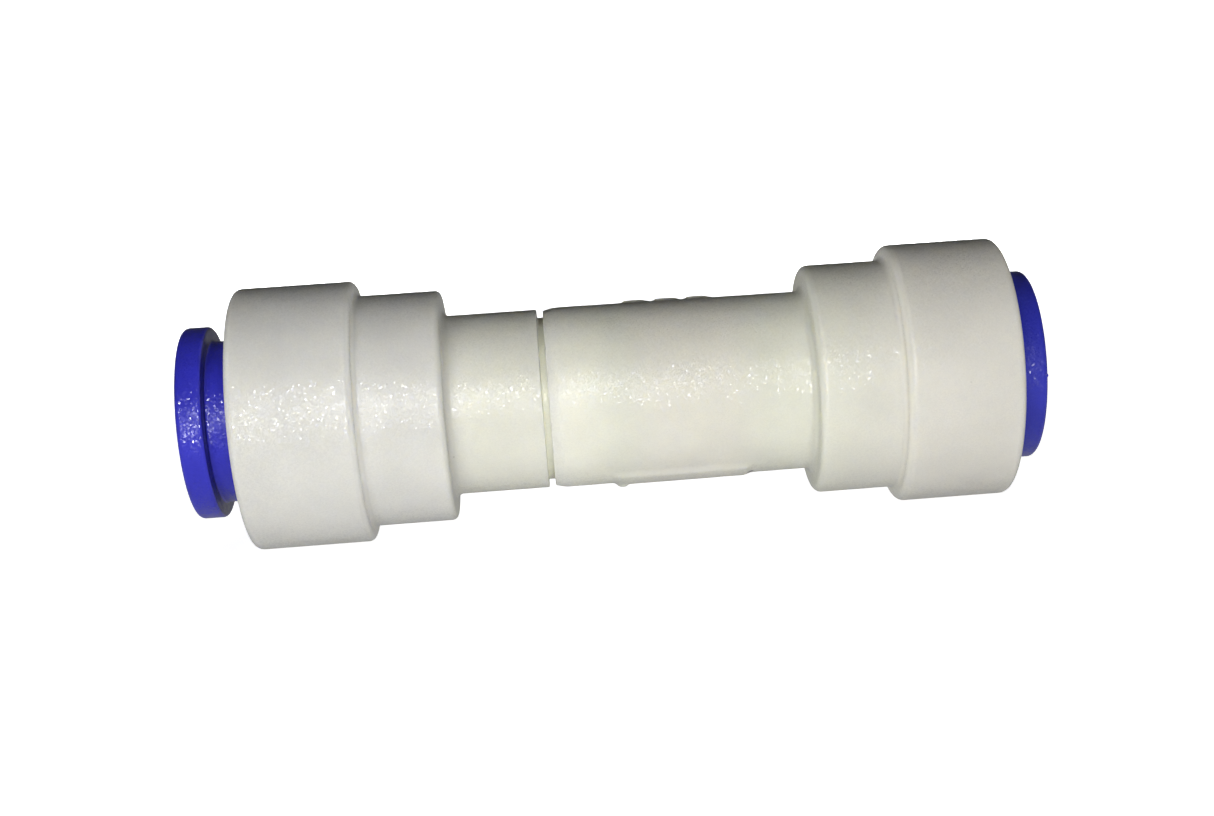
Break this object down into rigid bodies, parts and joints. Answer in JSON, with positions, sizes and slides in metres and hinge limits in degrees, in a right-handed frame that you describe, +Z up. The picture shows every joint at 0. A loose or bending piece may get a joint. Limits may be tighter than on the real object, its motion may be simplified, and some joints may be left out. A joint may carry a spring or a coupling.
{
  "type": "push-fit check valve coupling",
  "caption": "In-line push-fit tube coupling with a two-part stepped body, sliding release collets and a spring-loaded check valve in its barrel.",
  "frame": {"origin": "middle of the overall length on the flow axis, with the inlet collet out and the outlet collet in", "axes": "+X along the flow, from inlet to outlet; +Z up; the raised flow chevrons lie 20 degrees behind it, towards +Y"},
  "size_m": [0.0646, 0.02, 0.02],
  "materials": {
    "body_plastic": "natural white acetal with a fine spark-eroded grain",
    "collet_plastic": "blue acetal, satin",
    "tooth_steel": "stainless steel strip",
    "seal_rubber": "black nitrile rubber",
    "valve_plastic": "pale grey acetal, satin",
    "spring_steel": "drawn stainless steel wire"
  },
  "bodies": {
    "housing": {"inlet_body": "body_plastic", "outlet_body": "body_plastic", "inlet_tube_o_ring": "seal_rubber", "outlet_tube_o_ring": "seal_rubber", "valve_housing": "valve_plastic", "valve_housing_o_ring": "seal_rubber", "spring_guide": "valve_plastic", "valve_spring": "spring_steel"},
    "inlet_collet_group": {"inlet_collet": "collet_plastic", "inlet_grip_tooth_1": "tooth_steel", "inlet_grip_tooth_2": "tooth_steel", "inlet_grip_tooth_3": "tooth_steel", "inlet_grip_tooth_4": "tooth_steel", "inlet_grip_tooth_5": "tooth_steel", "inlet_grip_tooth_6": "tooth_steel"},
    "outlet_collet_group": {"outlet_collet": "collet_plastic", "outlet_grip_tooth_1": "tooth_steel", "outlet_grip_tooth_2": "tooth_steel", "outlet_grip_tooth_3": "tooth_steel", "outlet_grip_tooth_4": "tooth_steel", "outlet_grip_tooth_5": "tooth_steel", "outlet_grip_tooth_6": "tooth_steel"},
    "poppet_group": {"poppet": "valve_plastic", "poppet_seal": "seal_rubber"}
  },
  "joints": [
    {"name": "inlet_collet_slide", "type": "slide", "parent": "housing", "child": "inlet_collet_group", "axis": [1, 0, 0], "range_m": [0, 0.00176]},
    {"name": "outlet_collet_slide", "type": "slide", "parent": "housing", "child": "outlet_collet_group", "axis": [1, 0, 0], "range_m": [0, 0.00176]},
    {"name": "poppet_slide", "type": "slide", "parent": "housing", "child": "poppet_group", "axis": [1, 0, 0], "range_m": [0, 0.0016], "stiffness_N_per_m": 200, "deforming": ["valve_spring"]}
  ]
}
